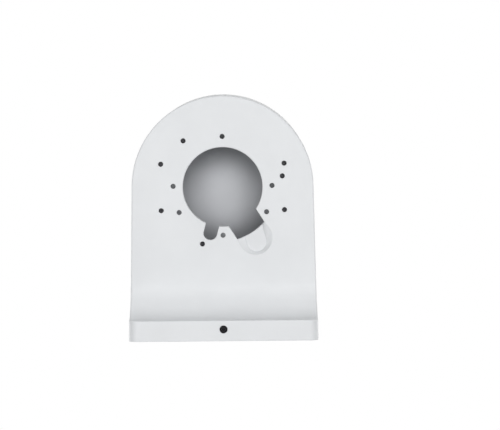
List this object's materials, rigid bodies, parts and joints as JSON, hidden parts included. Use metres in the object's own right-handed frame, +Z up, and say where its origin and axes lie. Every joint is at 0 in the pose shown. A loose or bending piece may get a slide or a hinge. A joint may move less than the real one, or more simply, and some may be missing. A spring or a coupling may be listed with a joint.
{
  "type": "camera wall bracket",
  "caption": "Hollow cast arm with a round nose and a flat underside for a dome camera, hung on a steel wall plate and locked by a set screw.",
  "frame": {"origin": "centre of the four wall screws, in the plane of the wall, halfway up the arm's wall end", "axes": "+Z up, +Y into the wall, the arm reaches along -Y, the camera face looks down along -Z"},
  "size_m": [0.124, 0.159, 0.09],
  "materials": {
    "painted_casting": "pale white powder coat, satin",
    "zinc_plated_sheet": "zinc-plated sheet, semi-matt",
    "blackened_screw": "black oxide"
  },
  "bodies": {
    "root": {"bracket_body": "painted_casting", "wall_plate": "zinc_plated_sheet", "lock_screw": "blackened_screw"}
  },
  "joints": []
}
